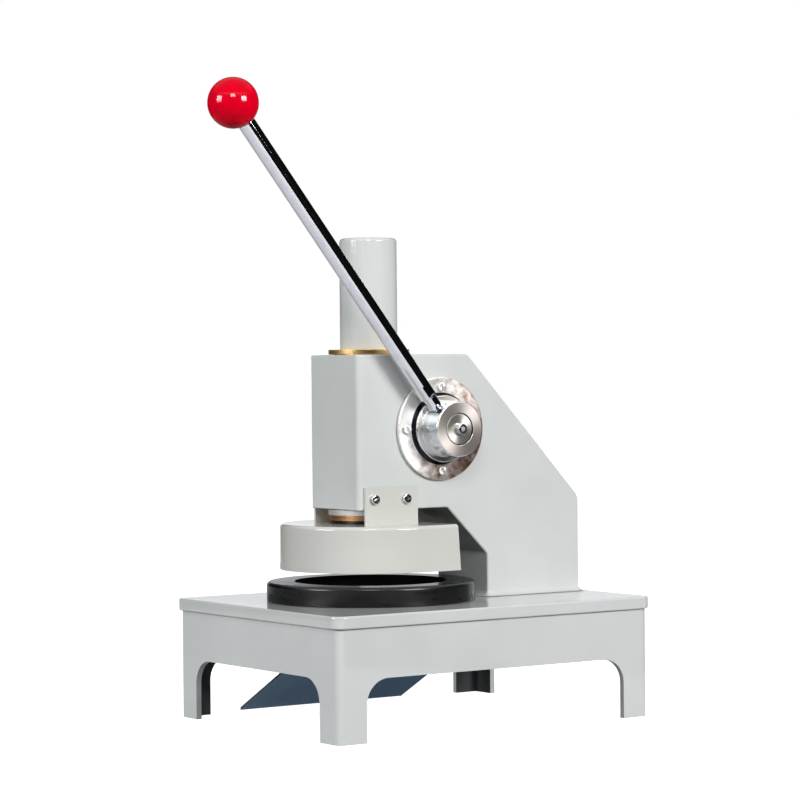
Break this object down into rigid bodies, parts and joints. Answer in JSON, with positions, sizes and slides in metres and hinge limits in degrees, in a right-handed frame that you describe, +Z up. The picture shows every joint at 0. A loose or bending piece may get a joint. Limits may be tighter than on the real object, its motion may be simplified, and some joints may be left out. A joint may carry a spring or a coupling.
{
  "type": "round sample cutter press",
  "caption": "Bench press with a side lever, rack-driven ram, guarded round blade and ring die on an arched base; punches discs out of paper and board.",
  "frame": {"origin": "on the floor, under the middle of the machine's outer box with the lever at rest", "axes": "+Z up, +X towards the lever's side, the paper goes in from the front at -Y"},
  "size_m": [0.245, 0.3736, 0.5119],
  "materials": {
    "body_paint": "light grey enamel, satin gloss",
    "guard_paint": "warm light grey enamel, satin",
    "black_steel": "blackened steel, smooth and glossy",
    "brass": "turned",
    "brushed_steel": "turned and brushed in circles",
    "turned_steel": "ground and lightly oiled",
    "chrome": "mirror",
    "zinc": "bright zinc plate",
    "red_plastic": "high gloss",
    "slate_paint": "blue grey enamel, satin"
  },
  "bodies": {
    "machine": {"base_plate": "body_paint", "base_skirt": "body_paint", "frame_casting": "body_paint", "guard_shell": "guard_paint", "die_ring": "black_steel", "upper_bush": "brass", "lower_bush": "brass", "right_shaft_bush": "brass", "left_shaft_bush": "brass", "right_bearing_flange": "brushed_steel", "left_bearing_cover": "brushed_steel", "bush_collar": "turned_steel", "return_spring": "turned_steel", "base_screw_1": "zinc", "base_screw_2": "zinc", "base_screw_3": "zinc", "base_screw_4": "zinc", "chute_screw_1": "zinc", "chute_screw_2": "zinc", "die_bolt_1": "zinc", "die_bolt_2": "zinc", "die_bolt_3": "zinc", "die_bolt_4": "zinc", "frame_bolt_1": "zinc", "frame_bolt_2": "zinc", "frame_bolt_3": "zinc", "frame_bolt_4": "zinc", "right_guard_screw_1": "zinc", "right_guard_screw_2": "zinc", "left_guard_screw_1": "zinc", "left_guard_screw_2": "zinc", "right_flange_screw_1": "zinc", "right_flange_screw_2": "zinc", "right_flange_screw_3": "zinc", "right_flange_screw_4": "zinc", "left_cover_screw_1": "zinc", "left_cover_screw_2": "zinc", "left_cover_screw_3": "zinc", "left_cover_screw_4": "zinc", "discharge_chute": "slate_paint"},
    "ram_unit": {"ram": "body_paint", "blade_holder": "black_steel", "cutting_blade": "turned_steel", "holder_bolt": "zinc", "blade_screw_1": "zinc", "blade_screw_2": "zinc", "blade_screw_3": "zinc", "blade_screw_4": "zinc"},
    "lever_unit": {"pinion_shaft": "turned_steel", "pinion_gear": "turned_steel", "gear_key": "turned_steel", "hub_key": "turned_steel", "lever_hub": "brushed_steel", "hub_cap_disc": "brushed_steel", "hub_screw": "zinc", "lever_rod": "chrome", "lever_knob": "red_plastic"}
  },
  "joints": [
    {"name": "lever_swing", "type": "hinge", "parent": "machine", "child": "lever_unit", "pos_m": [0, 0.03478, 0.2376], "axis": [1, 0, 0], "range_deg": [0, 53.7], "stiffness_Nm_per_rad": 1, "springref_deg": -137.51},
    {"name": "ram_slide", "type": "slide", "parent": "machine", "child": "ram_unit", "axis": [0, 0, 1], "range_m": [-0.0225, 0]}
  ],
  "couplings": [
    {"joint": "ram_slide", "follows": "lever_swing", "m_per_rad": -0.024}
  ]
}
